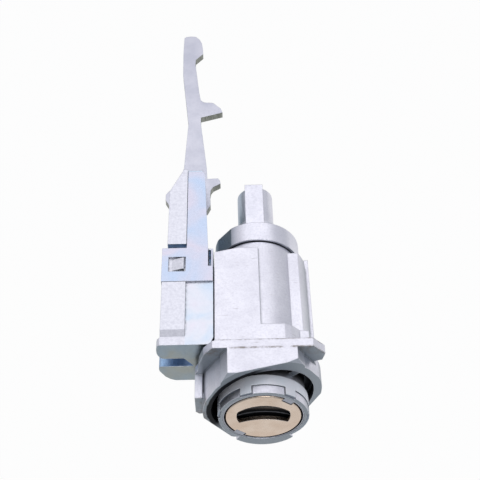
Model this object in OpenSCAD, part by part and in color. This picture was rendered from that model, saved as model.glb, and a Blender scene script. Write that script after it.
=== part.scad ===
// Ignition lock cylinder with a hexagonal collar, a push-fit nose ring and a side lever.
// The plug axis runs along Y. The face with the key slot looks towards -Y and +Z is up.
// The origin is on the plug axis, in the rear face of the flange that seats on the housing.

/* [Face] */
// Distance from the flange's rear face forward to the face plate
nose_len = 12.7; // [12.2:0.1:15]
// Radius of the polished face plate
face_r = 9; // [8.6:0.05:9.1]
// Thickness of the face plate
face_t = 1; // [0.8:0.05:1.2]
// Radius of the rounded rim of the face plate
face_edge_r = 0.3; // [0.15:0.05:0.45]
// Width of the key slot between its round ends
slot_w = 12.8; // [11.6:0.1:13]
// Height of the key slot's crown above the axis
slot_crown_z = 5.1; // [4.6:0.05:5.3]
// Radius of the arched upper edge of the key slot
slot_crown_r = 8.45; // [8:0.05:10]
// Height of the middle of the slot's arched lower edge
slot_sill_z = -0.85; // [-1.2:0.05:-0.6]
// Radius of the arched lower edge of the key slot
slot_sill_r = 13.5; // [12:0.5:18]
// Direction of the two staked tabs, clockwise from the top as seen from the front
tab_angle = 40.5; // [30:0.5:50]
// Width of a staked tab
tab_w = 2.7; // [2:0.1:3.2]
// Radial height of a staked tab
tab_h = 0.8; // [0.6:0.05:1]

/* [Nose] */
// Wall of the cap ring
ring_wall = 0.6; // [0.55:0.05:0.8]
// Length of the cap ring
ring_len = 4.6; // [4:0.1:5.4]
// Setback of the cap ring behind the face
ring_setback = 0.25; // [0.1:0.05:0.5]
// Angle that one window spans
window_span = 43; // [36:1:45]
// Depth of a window from the front rim
window_depth = 2.2; // [1.8:0.1:2.8]
// Turn of the window pattern, clockwise from the top
window_turn = 6.6; // [4:0.2:8]
// Angle from one window to the next
window_pitch = 58; // [57:0.5:59]
// Height of a snap lug above the neck
lug_h = 0.45; // [0.3:0.05:0.7]
// Height of the single stop lug at the bottom above the neck
stop_lug_h = 2.2; // [1.8:0.1:2.4]
// Radius of the stop lug's rounded bottom
stop_lug_r = 9.5; // [9:0.1:10.5]
// Angle that the stop lug spans
stop_span = 72; // [60:1:74]
// Turn of the stop lug and its window, clockwise from the top
stop_turn = 178; // [176:1:180]
// Wall of the neck round the plug's head
neck_wall = 0.5; // [0.45:0.05:0.6]

/* [Collar] */
// Width of the hexagonal collar across its flats
hex_af = 28.4; // [27.8:0.1:29.4]
// Radius that rounds the two side corners of the collar
hex_side_r = 14.4; // [14.2:0.1:15]
// Distance of the collar's two lower side flats from the axis
low_flat_r = 13.4; // [13.1:0.05:13.8]
// Distance from the flange's rear face to the collar's front edge on the axis
collar_len = 8.1; // [7.6:0.1:8.6]
// Slant of the collar's front face, with the right side set back
collar_slant = 12.2; // [10:0.1:13.4]
// Radius of the collar's open bore
collar_bore_r = 12.4; // [12.2:0.05:12.7]
// Radius at which the bevel of the collar's rim starts
collar_rim_r = 15.4; // [15:0.1:15.8]
// Thickness of the flange plate
flange_t = 2.4; // [2:0.1:3]
// Setback of the flange's rear face beside the guide block
seat_relief = 0.3; // [0.2:0.05:0.6]
// Thickness of the floor of the collar's open bore
floor_t = 1.4; // [1.2:0.1:2]
// Thickness of the webs between the neck and the collar
web_t = 1.6; // [1.4:0.1:2.2]
// Reach of the cast rib on the left of the collar from the axis
rib_reach = 16.2; // [16:0.1:16.4]
// Reach of the flange's right ear from the axis
ear_reach = 14.9; // [14.6:0.1:15]

/* [Barrel] */
// Radius of the barrel
barrel_r = 10.5; // [10.2:0.05:10.8]
// Length of the barrel behind the flange
barrel_len = 33.5; // [32.5:0.5:37]
// Height of the flat block beside the guide, above the axis
block_top = 11; // [10.7:0.1:11.2]
// Half width of the flat block on the guide's side
block_side = 11.2; // [11:0.05:11.4]
// Setback of the flat block's rear end from the barrel's rear end
block_back = 2.2; // [2:0.1:3.5]
// Length of the wide foot of the flat block
foot_len = 6.7; // [5.5:0.1:7.5]
// Right end of the flat on the foot
foot_right = 5.7; // [4.5:0.1:6.2]
// Radius of the thick segment on the right side
segment_r = 12.6; // [12.2:0.1:12.8]
// Height of the thick segment's flat top
segment_top = 7.1; // [6.6:0.1:7.3]
// Reach of the fin on the right side, from the axis
fin_reach = 13.5; // [13.2:0.1:14]
// Thickness of the fin
fin_t = 1.8; // [1.4:0.1:2.4]

/* [Plug] */
// Radius of the plug inside the barrel
plug_r = 7; // [6.8:0.05:7.1]
// Radial running clearance of the plug
plug_fit = 0.05; // [0.03:0.01:0.08]
// Gap between the face plate and the rim of the plug round it
rim_gap = 0.4; // [0.2:0.05:0.4]
// Thickness of the rim of the plug round the face plate
rim_w = 0.3; // [0.3:0.05:0.4]
// Width of the key way across the plug
key_w = 9.6; // [8.6:0.1:10]
// Height of the key way
key_h = 3; // [2.4:0.1:3.2]
// Height of the key way's middle above the axis
key_z = 0.6; // [0.4:0.1:0.8]
// Thickness of a wafer
wafer_t = 1; // [0.8:0.05:1.1]
// Pitch of the wafers along the plug
wafer_pitch = 2.8; // [2.6:0.05:2.9]
// Height of a wafer
wafer_h = 6.4; // [6:0.1:6.6]
// Travel of a wafer across the plug
wafer_travel = 0.9; // [0.6:0.05:1]
// Gap between a wafer and its slot
wafer_gap = 0.08; // [0.05:0.01:0.12]
// Wire radius of a wafer spring
wafer_wire_r = 0.12; // [0.1:0.01:0.14]

/* [Tail] */
// Radius of the cam disc behind the barrel
cam_r = 11.2; // [11:0.1:11.6]
// Thickness of the cam disc
cam_t = 6; // [5:0.1:7]
// Depth of the flat on the left of the cam disc
cam_flat = 0.35; // [0.25:0.05:0.6]
// Direction of the flat on the cam disc, anticlockwise from the top
cam_flat_turn = 52; // [46:1:60]
// Radius of the boss behind the cam disc
boss_r = 6.1; // [5.6:0.1:7]
// Length of the boss behind the cam disc
boss_len = 5.8; // [4:0.1:7]
// Radius of the tail shaft
shaft_r = 4.9; // [4.6:0.05:5.2]
// Length of the tail shaft behind the cam disc
shaft_len = 18.8; // [16:0.1:22]
// Width of the rib along the tail shaft
rib_w = 5; // [4:0.1:5.4]
// Height of the rib's top above the axis
rib_top = 6.2; // [5.8:0.1:6.5]
// Thickness of the plug's drive tongue in the cam disc
tongue_t = 3; // [2.6:0.1:3.4]
// Length of the drive tongue
tongue_len = 3.6; // [3:0.1:4]
// Radius of the cross pin through the tongue
cross_pin_r = 0.8; // [0.6:0.05:0.9]

/* [Guide] */
// Gap between the guide block and the barrel's flat block
guide_gap = 0.3; // [0.2:0.05:0.4]
// Start of the guide block behind the flange
guide_start = 1.3; // [1:0.1:1.8]
// End of the guide block behind the flange
guide_end = 60.2; // [58:0.1:61.5]
// Reach of the guide block to the left of the axis
guide_left = 24.4; // [24.2:0.1:24.8]
// Height of the guide block's deck, under the sheet clip
deck_z = 10.6; // [10.4:0.1:10.8]
// Height of the raised slabs above the deck
slab_h = 0.6; // [0.4:0.05:0.8]
// Right edge of the raised slabs, from the axis
slab_right = 18.4; // [18:0.1:18.8]
// Top of the slot that the lever lies in
slot_top = 5; // [4.8:0.1:5.4]
// Height of the slot that the lever lies in
slot_h = 3.3; // [3.1:0.1:3.4]
// Bulge of the guide block's front wall to the left
front_bulge = 0.9; // [0.5:0.1:1.1]
// Thickness of the lower plate of the guide block
lower_plate_t = 6.1; // [5.6:0.1:6.4]
// Start of the sheet band behind the flange
band_start = 20.5; // [19.5:0.1:21]
// Width of the sheet band along the guide
band_w = 11; // [10:0.1:11.5]
// Thickness of the sheet clip
sheet_t = 0.5; // [0.4:0.05:0.6]

/* [Lever] */
// Thickness of the lever
lever_t = 2; // [1.8:0.05:2.2]
// Gap between the lever and the guide block above and below it
lever_gap = 0.3; // [0.2:0.05:0.4]
// Radius of the lever's round hub
hub_r = 5.7; // [5.4:0.1:6]
// Distance of the pivot from the plug axis
pivot_x = 18.6; // [18.3:0.1:18.9]
// Distance of the pivot behind the flange
pivot_y = 54.8; // [53:0.1:55]
// Radius of the pivot pin
pivot_r = 2; // [1.6:0.05:2.2]
// Radial running clearance of the lever on its pivot
pivot_fit = 0.05; // [0.03:0.01:0.08]
// Reach of the lever from the pivot to its tip
lever_len = 73.9; // [70:0.1:78]
// Distance of the tooth from the pivot
tooth_at = 34.1; // [32:0.1:37]
// Reach of the tooth's point to the right of the pivot
tooth_reach = 9.8; // [8:0.1:11]

/* [Hidden] */
$fn = 64;
eps = 0.01;
wafer_count = 8;
wafer_names = [for (i = [1 : wafer_count]) str("wafer_", i)];
spring_names = [for (i = [1 : wafer_count]) str("wafer_spring_", i)];

zinc = "#c9c9d6";
blue_zinc = "#a9b3c6";
plated = "#cfd8ea";
steel = "#b9bcc4";
beige_steel = "#cdbba8";
black = "#15171a";
brass = "#c2a25a";

face_y = -nose_len;
head_r = face_r + rim_gap + rim_w;
head_bore_r = head_r + plug_fit;
neck_r = head_bore_r + neck_wall;
ring_in_r = neck_r + 0.05;
ring_r = ring_in_r + ring_wall;
bore_r = plug_r + plug_fit;
collar_floor = -floor_t;
hex_r = hex_af / 2;
hex_corner = hex_r / cos(30);
hex_half_side = hex_r * tan(30);
sharp_half_w = hex_half_side + 1.7;
bevel_slope = 2;
bevel_lead = 5;

ring_y0 = face_y + ring_setback;
ring_y1 = ring_y0 + ring_len;
lug_side_gap = 1.2;
lug_end_gap = 0.1;
block_len = barrel_len - block_back;
block_low = -4.4;
block_slant = 1.4;
block_slant_x = -5.2;
fin_z = -0.4;
fin_tail = 1.8;
segment_end = barrel_len - 1.2;
windows = concat([for (k = [-2 : 1]) [window_turn + k * window_pitch, window_span]],
                 [[stop_turn, stop_span + 2 * lug_side_gap]]);

rim_setback = 0.1;
groove_depth = 1.2;
groove_in = 0.15;
shutter_t = 0.8;
shutter_pin_r = 0.55;
shutter_pin_y = face_y + face_t + 1.5;
shutter_pin_z = slot_crown_z + 0.75;
shutter_pin_x = 6.6;
hinge_half = 4;
flap_r = slot_w / 2 + 0.35;
flap_low = slot_sill_z - 1.75;
flap_reach = shutter_pin_z - flap_low;
cavity_r = face_r - 0.6;
cavity_gap = 0.35;
cavity_end = shutter_pin_y + flap_reach + 0.2;
head_end = cavity_end + 0.5;
head_bore_end = head_end + 0.3;

wafer_first = cavity_end + 2.2;
wafer_r = plug_r - 0.06;
window_w = key_w + 0.2;
window_h = key_h + 0.2;
ear_w = 1;
ear_x = 1.2;
ear_low = key_z - wafer_h / 2 - 1.55;
pocket_r = 0.75;
pocket_z = ear_low + 0.65;
pocket_x0 = -3.4;
spring_r = pocket_r - wafer_wire_r - 0.08;
keyway_end = wafer_first + wafer_count * wafer_pitch;

retainer_y = keyway_end + 2;
retainer_t = 1.2;
retainer_w = 4;
retainer_out = 0.8;
retainer_groove = 0.3;

cam_y0 = barrel_len + 0.3;
cam_y1 = cam_y0 + cam_t;
shaft_y1 = cam_y1 + shaft_len;
rib_x = -0.35;
tongue_w = 9.6;
tongue_fit = 0.05;
cross_pin_y = cam_y0 + tongue_len / 2;

guide_right = block_side + guide_gap;
lower_top = slot_top - slot_h;
lower_z = lower_top - lower_plate_t;
band_end = band_start + band_w;
slab_z = deck_z + slab_h;
clip_z = deck_z + sheet_t;
clip_left = guide_left + 0.2;
notch_start = band_start + 4.8;
notch_w = 1.3;
finger_w = 0.5;
notch_depth = 3;
front_wall_t = 2.2;
lever_z = slot_top - lever_gap - lever_t;
rest_r = hub_r - 0.5;
recess_r = pivot_r + 1.05;
recess_z = lower_top - 2.6;
catch_len = 1.3;
catch_d = 1;
wall_end = pivot_y - hub_r - 1;
pivot_top = deck_z - 2;
tongue_x = 9;
tongue_z = 2;
tongue_gap = 0.1;
guide_tongue_y0 = 8;
guide_tongue_y1 = 29;
guide_pin_r = 0.7;
guide_pin_x = tongue_x + 1.1;

// A front view, X to the right and Z up, carried from y0 back to y1
module front(y0, y1) {
    translate([0, y1, 0]) rotate([90, 0, 0]) linear_extrude(height = y1 - y0) children();
}

// A plan, X to the right and Y to the rear, carried from z0 up to z1
module plan(z0, z1) {
    translate([0, 0, z0]) linear_extrude(height = z1 - z0) children();
}

// A side view, Y to the right and Z up, carried from x0 to x1
module side(x0, x1) {
    translate([x0, 0, 0]) rotate([90, 0, 90]) linear_extrude(height = x1 - x0) children();
}

// A round rod along the plug axis
module rod(y0, y1, r) {
    front(y0, y1) circle(r = r);
}

// A round tube along the plug axis
module tube(y0, y1, r_out, r_in) {
    difference() {
        rod(y0, y1, r_out);
        rod(y0 - eps, y1 + eps, r_in);
    }
}

// A box between two corners
module box(low, high) {
    translate(low) cube(high - low);
}

// A sector in the front view, from one angle to another, clockwise from the top
module sector(r, mid, span) {
    polygon([[0, 0], for (k = [0 : 4]) let (a = mid + span * (k / 4 - 0.5)) [r * sin(a), r * cos(a)]]);
}

// A wire coil round the Z axis, standing on z0
module coil(r, wire_r, turns, z0, height, steps = 8, sides = 5) {
    n = round(turns * steps);
    ring = [for (i = [0 : n]) for (j = [0 : sides - 1])
        let (a = 360 * i / steps, b = 360 * j / sides, q = r + wire_r * cos(b))
        [q * cos(a), q * sin(a), z0 + wire_r + (height - 2 * wire_r) * i / n + wire_r * sin(b)]];
    walls = [for (i = [0 : n - 1]) for (j = [0 : sides - 1])
        let (k = (j + 1) % sides)
        each [[i * sides + j, (i + 1) * sides + j, (i + 1) * sides + k],
              [i * sides + j, (i + 1) * sides + k, i * sides + k]]];
    ends = [[for (j = [0 : sides - 1]) j], [for (j = [sides - 1 : -1 : 0]) n * sides + j]];
    polyhedron(points = ring, faces = concat(walls, ends), convexity = 10);
}

// Hexagon with flats at top and bottom and its two side corners rounded
module hex_outline() {
    intersection() {
        circle(r = hex_corner, $fn = 6);
        union() {
            circle(r = hex_side_r);
            square([2 * sharp_half_w, 2 * hex_corner], center = true);
        }
        low_flat(120);
        low_flat(-120);
    }
}

// Everything inside one lower side flat of the collar
module low_flat(turn) {
    rotate([0, 0, turn]) translate([-30, -30]) square([60, 30 + low_flat_r]);
}

// Everything in front of the collar's slanted face
module ahead_of_collar() {
    translate([0, -collar_len, 0]) rotate([0, 0, collar_slant])
        translate([-30, -30, -30]) cube([60, 30, 60]);
}

module collar() {
    difference() {
        intersection() {
            front(-collar_len - 4, -seat_relief) hex_outline();
            translate([0, -collar_len, 0]) rotate([0, 0, collar_slant]) rotate([-90, 0, 0])
                translate([0, 0, -bevel_lead])
                    cylinder(r1 = collar_rim_r - bevel_slope * bevel_lead,
                             r2 = collar_rim_r + bevel_slope * 3 * bevel_lead, h = 4 * bevel_lead);
        }
        ahead_of_collar();
        rod(-30, collar_floor, collar_bore_r);
    }
}

module flange() {
    top = hex_r;
    left = -rib_reach;
    difference() {
        front(-flange_t, 0) polygon([
            [-11.7, top], [12, top], [ear_reach, 11], [ear_reach - 0.6, 8.5], [12.4, 7.9], [14.3, 1],
            [13.6, -3], [10, -10], [hex_half_side, -top], [-hex_half_side, -top],
            [-11, -9], [-13.6, -4], [left, -3.4], [left, 3.5], [left + 0.8, 5], [left + 1.2, 8],
            [left + 2.3, 11.4]]);
        rod(-flange_t - 1, 1, barrel_r - 1);
        box([-20, -seat_relief, -20], [-block_side, 1, 20]);
    }
}

// Rib along the left side of the collar, with its rough cast front end
module side_rib() {
    left = -rib_reach;
    front(-collar_len - 1, -seat_relief) polygon([
        [left, -2.6], [left, 3.5], [left + 1.8, 3.5], [left + 2.8, 2], [left + 2.8, -3.4],
        [left + 0.8, -3.4]]);
}

module flat_block() {
    plan(block_low, block_top) polygon([
        [-block_side, 0], [-block_side, block_len - block_slant], [block_slant_x, block_len],
        [0, block_len], [0, 0]]);
    front(0, foot_len) polygon([
        [-block_side, block_low], [-block_side, block_top], [foot_right, block_top],
        [foot_right + 1.6, block_top - 0.7], [foot_right + 3.8, block_top - 3],
        [segment_r - 0.9, block_top - 3.3], [segment_r, 4], [segment_r, -3], [0, -6]]);
}

module right_segment() {
    front(0, segment_end) intersection() {
        circle(r = segment_r);
        polygon([[4, segment_top], [segment_r + 1, segment_top], [segment_r + 1, -5.5], [4, -8]]);
    }
    box([barrel_r - 2, 0, fin_z - fin_t / 2], [fin_reach, segment_end, fin_z + fin_t / 2]);
    box([segment_r - 0.2, 0, fin_z - fin_t / 2], [fin_reach, barrel_len + fin_tail, fin_z + fin_t / 2]);
}

// Snap lugs on the neck, one for each window of the cap ring
module lugs() {
    for (place = windows)
        front(face_y, face_y + window_depth - lug_end_gap) intersection() {
            if (place[0] == stop_turn)
                translate([0, stop_lug_r - neck_r - stop_lug_h]) circle(r = stop_lug_r);
            if (place[0] != stop_turn)
                circle(r = neck_r + lug_h);
            sector(20, place[0], place[1] - 2 * lug_side_gap);
        }
}

module neck() {
    rod(face_y, collar_floor + eps, neck_r);
    lugs();
    for (a = [42, 222])
        rotate([0, a, 0]) box([-web_t / 2, -collar_len + 2.2, neck_r - 0.5],
                              [web_t / 2, collar_floor + eps, collar_bore_r + 0.4]);
}

module lock_body() {
    color(zinc) difference() {
        union() {
            collar();
            flange();
            side_rib();
            rod(collar_floor, barrel_len, barrel_r);
            flat_block();
            right_segment();
            neck();
        }
        rod(face_y - 1, head_bore_end, head_bore_r);
        rod(face_y - 1, barrel_len + 1, bore_r);
        rod(retainer_y - retainer_groove, retainer_y + retainer_t + retainer_groove,
            plug_r + retainer_out + 0.3);
        guide_groove();
        for (y = guide_pin_places()) guide_pin(y, guide_pin_r, -8, tongue_z + 1.5);
    }
}

// Groove in the flat block that takes the tongue of the guide block
module guide_groove() {
    box([-block_side - 1, guide_tongue_y0 - tongue_gap, -tongue_z - tongue_gap],
        [-tongue_x + tongue_gap, guide_tongue_y1 + tongue_gap, tongue_z + tongue_gap]);
}

function guide_pin_places() = [guide_tongue_y0 + 3, guide_tongue_y1 - 3];

module guide_pin(y, r, z0, z1) {
    translate([-guide_pin_x, y, z0]) cylinder(r = r, h = z1 - z0);
}

module nose_ring() {
    color(blue_zinc) difference() {
        tube(ring_y0, ring_y1, ring_r, ring_in_r);
        for (place = windows)
            front(ring_y0 - 1, face_y + window_depth) sector(20, place[0], place[1]);
    }
}

module key_slot_outline() {
    difference() {
        intersection() {
            translate([0, slot_crown_z - slot_crown_r]) circle(r = slot_crown_r);
            translate([0, 0.6]) circle(r = slot_w / 2);
        }
        translate([0, slot_sill_z - slot_sill_r]) circle(r = slot_sill_r);
    }
}

// The two tabs at the rim, or with a gap the notches that they stand in
module tab_outline(gap) {
    for (a = [tab_angle, tab_angle + 180])
        rotate([0, 0, -a]) translate([-tab_w / 2 - gap, face_r - tab_h - gap])
            square([tab_w + 2 * gap, tab_h + 2]);
}

module face_plate() {
    color(beige_steel) difference() {
        translate([0, face_y, 0]) rotate([-90, 0, 0]) rotate_extrude() union() {
            translate([0, face_edge_r]) square([face_r, face_t - face_edge_r]);
            square([face_r - face_edge_r, face_t]);
            translate([face_r - face_edge_r, face_edge_r]) circle(r = face_edge_r, $fn = 32);
        }
        front(face_y - 1, face_y + face_t + 1) key_slot_outline();
        front(face_y - 1, face_y + face_t + 1) tab_outline(0.15);
    }
}

// Flap outline in the front view, from its hinge barrel down over the slot
module flap_outline() {
    difference() {
        intersection() {
            circle(r = flap_r);
            translate([-10, flap_low]) square([20, shutter_pin_z - flap_low]);
        }
        for (side = [-1, 1])
            translate([side * (hinge_half + 5), shutter_pin_z]) square([10, 2.8], center = true);
    }
}

module shutter() {
    y0 = shutter_pin_y - shutter_t / 2;
    color(black) difference() {
        union() {
            front(y0, y0 + shutter_t) flap_outline();
            front(y0 - 0.35, y0 + eps) intersection() {
                flap_outline();
                difference() {
                    translate([0, slot_sill_z - slot_sill_r + 2.9]) circle(r = slot_sill_r);
                    translate([0, slot_sill_z - slot_sill_r + 2.4]) circle(r = slot_sill_r);
                }
            }
            translate([0, shutter_pin_y, shutter_pin_z]) rotate([0, 90, 0])
                cylinder(r = shutter_pin_r + 0.5, h = 2 * hinge_half, center = true);
        }
        translate([0, shutter_pin_y, shutter_pin_z]) rotate([0, 90, 0])
            cylinder(r = shutter_pin_r + 0.05, h = 20, center = true);
    }
}

module shutter_pin() {
    color(steel) translate([0, shutter_pin_y, shutter_pin_z]) rotate([0, 90, 0])
        cylinder(r = shutter_pin_r, h = 2 * shutter_pin_x, center = true);
}

module shutter_spring() {
    wire = 0.16;
    color(steel) translate([hinge_half + 0.15, shutter_pin_y, shutter_pin_z]) rotate([0, 90, 0])
        coil(shutter_pin_r + wire + 0.12, wire, 2, 0, 1);
}

// Space behind the face in which the shutter swings
module shutter_cavity() {
    front(face_y + face_t - eps, cavity_end) intersection() {
        circle(r = cavity_r);
        translate([-10, flap_low - cavity_gap])
            square([20, shutter_pin_z + shutter_pin_r + 0.5 + cavity_gap - flap_low + cavity_gap]);
    }
}

module wafer_outline() {
    intersection() {
        circle(r = wafer_r);
        translate([wafer_travel, 0]) circle(r = wafer_r);
        translate([-10, key_z - wafer_h / 2]) square([20, wafer_h]);
    }
}

module wafer(i) {
    y0 = wafer_first + (i - 1) * wafer_pitch;
    color(brass) front(y0, y0 + wafer_t) {
        difference() {
            wafer_outline();
            translate([wafer_travel / 2, key_z]) square([window_w, window_h], center = true);
        }
        translate([ear_x, ear_low]) square([ear_w, key_z - ear_low - window_h / 2 - 0.2]);
    }
}

module wafer_slot(i) {
    y0 = wafer_first + (i - 1) * wafer_pitch - wafer_gap;
    y1 = y0 + wafer_t + 2 * wafer_gap;
    front(y0, y1) {
        translate([-10, key_z - wafer_h / 2 - wafer_gap]) square([20, wafer_h + 2 * wafer_gap]);
        translate([ear_x - wafer_travel - 0.2, ear_low - wafer_gap])
            square([ear_w + wafer_travel + 0.4, 3]);
    }
    spring_pocket(i) cylinder(r = pocket_r, h = ear_x - pocket_x0 + 0.2);
}

// Places a shape drawn up the Z axis in the spring pocket of one wafer, along X
module spring_pocket(i) {
    translate([pocket_x0, wafer_first + (i - 1) * wafer_pitch + wafer_t / 2, pocket_z])
        rotate([0, 90, 0]) children();
}

module wafer_spring(i) {
    color(steel) spring_pocket(i)
        coil(spring_r, wafer_wire_r, 4, 0.05, ear_x - pocket_x0 - 0.1);
}

module plug() {
    color(zinc) difference() {
        union() {
            rod(face_y + face_t, head_end, head_r);
            tube(face_y + rim_setback, face_y + face_t + eps, head_r, face_r + rim_gap);
            rod(head_end - eps, barrel_len, plug_r);
            front(face_y + rim_setback, face_y + face_t + eps) intersection() {
                tab_outline(0);
                circle(r = head_r);
            }
            front(barrel_len - eps, cam_y0 + tongue_len)
                square([tongue_w, tongue_t], center = true);
        }
        shutter_cavity();
        tube(face_y + face_t, face_y + face_t + groove_depth, face_r + rim_gap, face_r - groove_in);
        translate([0, shutter_pin_y, shutter_pin_z]) rotate([0, 90, 0])
            cylinder(r = shutter_pin_r, h = 2 * shutter_pin_x, center = true);
        front(cavity_end - eps, keyway_end) translate([0, key_z]) square([key_w, key_h], center = true);
        for (i = [1 : wafer_count]) wafer_slot(i);
        retainer_slot();
        cross_pin_hole();
    }
}

module retainer_slot() {
    box([-retainer_w / 2 - 0.06, retainer_y - 0.06, -plug_r - 1],
        [retainer_w / 2 + 0.06, retainer_y + retainer_t + 0.06, 2]);
}

module retainer_wafer() {
    color(brass) front(retainer_y, retainer_y + retainer_t) intersection() {
        circle(r = plug_r + retainer_out);
        translate([-retainer_w / 2, -plug_r - 2]) square([retainer_w, 6]);
    }
}

module retainer_spring() {
    color(steel) translate([0, retainer_y + retainer_t / 2, -3])
        coil(0.36, 0.14, 4, 0.05, 4.9);
}

module cross_pin_hole() {
    translate([0, cross_pin_y, 0]) rotate([0, 90, 0]) cylinder(r = cross_pin_r, h = 40, center = true);
}

module tail_cam() {
    color(zinc) difference() {
        union() {
            front(cam_y0, cam_y1) difference() {
                circle(r = cam_r);
                rotate([0, 0, cam_flat_turn]) translate([-10, cam_r - cam_flat]) square([20, 4]);
            }
            rod(cam_y1 - eps, cam_y1 + boss_len, boss_r);
            rod(cam_y1 - eps, shaft_y1, shaft_r);
            front(cam_y1, shaft_y1) translate([rib_x - rib_w / 2, 0]) square([rib_w, rib_top]);
        }
        front(cam_y0 - 1, cam_y0 + tongue_len + 0.2)
            square([tongue_w + 0.3, tongue_t + 2 * tongue_fit], center = true);
        cross_pin_hole();
    }
}

module cam_pin() {
    color(steel) translate([0, cross_pin_y, 0]) rotate([0, 90, 0])
        cylinder(r = cross_pin_r, h = 2 * cam_r - 1.2, center = true);
}

// Plan of the guide block's upper plate and deck
module guide_plan() {
    front_r = 1.3;
    difference() {
        polygon([
            [-guide_right, guide_start + 2], [-guide_right - 0.9, guide_start],
            [-guide_left, guide_start], [-guide_left, band_start], [-guide_left + 0.4, band_start],
            [-guide_left + 0.4, band_end + catch_len], [-guide_left + 1.1, band_end + catch_len],
            [-guide_left + 1.2, guide_end - 8.2], [-slab_right - 1.1, guide_end],
            [-guide_right - 2.9, guide_end], [-guide_right - 2, band_end], [-guide_right, band_end]]);
        translate([-guide_left, guide_start]) difference() {
            square(2 * front_r, center = true);
            translate([front_r, front_r]) circle(r = front_r);
        }
    }
}

// Front view of the upper plate, its right wall and the lower plate
module guide_section(with_wall) {
    corner_r = 1.6;
    difference() {
        translate([-guide_left - 1, slot_top])
            square([guide_left - guide_right + 1, deck_z + slab_h - slot_top]);
        translate([-guide_left - corner_r, slot_top - corner_r]) difference() {
            square(2 * corner_r);
            translate([2 * corner_r, 2 * corner_r]) circle(r = corner_r);
        }
    }
    if (with_wall) polygon([
        [-slab_right - 0.4, slot_top + eps], [-16.5, lower_top - eps],
        [-guide_right, lower_top - eps], [-guide_right, slot_top + eps]]);
}

// Front wall of the upper plate, which bulges to the left with a rounded lower corner
module front_wall() {
    left = -guide_left - front_bulge;
    front(guide_start, guide_start + front_wall_t) polygon([
        [-guide_left + 2, deck_z], [left + 0.8, deck_z], [left + 0.2, deck_z - 0.6], [left, deck_z - 1.8],
        [left, slot_top + 2.4], [left + 0.3, slot_top + 1.2], [left + 0.9, slot_top + 0.3],
        [left + 1.6, slot_top], [-guide_left + 2, slot_top]]);
}

module guide_lower_section() {
    left = -guide_left - front_bulge + 0.1;
    polygon([
        [left, lower_top - 0.9], [left + 0.1, lower_top - 0.3], [left + 0.6, lower_top],
        [-guide_right, lower_top], [-guide_right, lower_z], [left + 3.9, lower_z],
        [left + 2.6, lower_z + 0.6], [left + 1.4, lower_z + 1.7], [left + 0.1, lower_top - 1.9]]);
}

module guide_lower_plan() {
    polygon([
        [-guide_right, guide_start], [-guide_left - 1, guide_start], [-guide_left - 1, band_start],
        [-guide_left + 0.4, band_start], [-guide_left + 0.4, band_end], [-guide_left - 0.2, band_end],
        [-guide_left + 1.2, guide_end - 8.2], [-slab_right - 1.1, guide_end],
        [-guide_right - 2.9, guide_end], [-guide_right - 2, band_end], [-guide_right, band_end]]);
}

// Raised slabs on the deck, the front one with a sloped front end
module slabs() {
    side(-guide_left, -slab_right) polygon([
        [guide_start + 2.4, deck_z - eps], [guide_start + 4.2, slab_z], [band_start - 0.2, slab_z],
        [band_start - 0.2, deck_z - eps]]);
    side(-guide_left, -slab_right) polygon([
        [band_end + catch_len, deck_z - catch_d], [band_end + catch_len, slab_z], [guide_end, slab_z],
        [guide_end, deck_z - catch_d]]);
}

module clip_boss() {
    front(band_start + 3.8, band_start + 7.5) polygon([
        [-22.1, deck_z - eps], [-19.2, clip_z + 0.35], [-18.9, clip_z + 0.2], [-18.9, deck_z - eps]]);
}

module guide_block() {
    color(plated) difference() {
        union() {
            intersection() {
                union() {
                    plan(lower_z - 1, deck_z) guide_plan();
                    intersection() {
                        plan(deck_z - 2, slab_z + 1) guide_plan();
                        slabs();
                    }
                }
                union() {
                    front(guide_start, wall_end) guide_section(true);
                    front(wall_end - eps, guide_end) guide_section(false);
                }
            }
            intersection() {
                plan(lower_z - 1, lower_top) guide_lower_plan();
                front(guide_start, guide_end) guide_lower_section();
            }
            intersection() {
                plan(lower_top - eps, lever_z - lever_gap) guide_lower_plan();
                translate([-pivot_x, pivot_y, lower_top - 1]) cylinder(r = rest_r, h = 5);
            }
            front_wall();
            clip_boss();
            box([-guide_right - 1, guide_tongue_y0, -tongue_z], [-tongue_x, guide_tongue_y1, tongue_z]);
        }
        box([-guide_left - 2, band_end, deck_z - catch_d], [-slab_right, band_end + catch_len, slab_z + 1]);
        box([-guide_right - notch_w, notch_start, deck_z - notch_depth],
            [-guide_right - finger_w, band_end - 0.5, deck_z + 1]);
        translate([-pivot_x, pivot_y, lower_z - 1]) cylinder(r = pivot_r, h = pivot_top - lower_z + 1);
        translate([-pivot_x, pivot_y, recess_z]) cylinder(r = recess_r, h = lever_z - recess_z);
        for (y = guide_pin_places()) guide_pin(y, guide_pin_r, -8, tongue_z + 2);
    }
}

module guide_pin_front() {
    color(steel) guide_pin(guide_pin_places()[0], guide_pin_r, -3.4, tongue_z + 1.4);
}

module guide_pin_rear() {
    color(steel) guide_pin(guide_pin_places()[1], guide_pin_r, -3.4, tongue_z + 1.4);
}

module cover_clip() {
    color(plated) difference() {
        union() {
            plan(deck_z, clip_z) polygon([
                [-clip_left, band_start], [-guide_right - 0.1, band_start],
                [-guide_right - 0.1, band_end - 0.7], [-guide_right - finger_w, band_end - 0.7],
                [-guide_right - finger_w, notch_start], [-guide_right - notch_w, notch_start],
                [-guide_right - notch_w, band_end - 0.3], [-guide_right - 2.2, guide_end - 1.8],
                [-guide_right - 2.8, guide_end - 0.9], [-slab_right + 0.1, guide_end - 0.9],
                [-slab_right + 0.1, band_end], [-clip_left, band_end]]);
            box([-clip_left, band_start, 0.8], [-clip_left + sheet_t, band_end, clip_z]);
        }
        box([-22.9, band_start + 3.2, deck_z - 1], [-slab_right - 0.1, band_start + 8, clip_z + 1]);
    }
}

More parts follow.
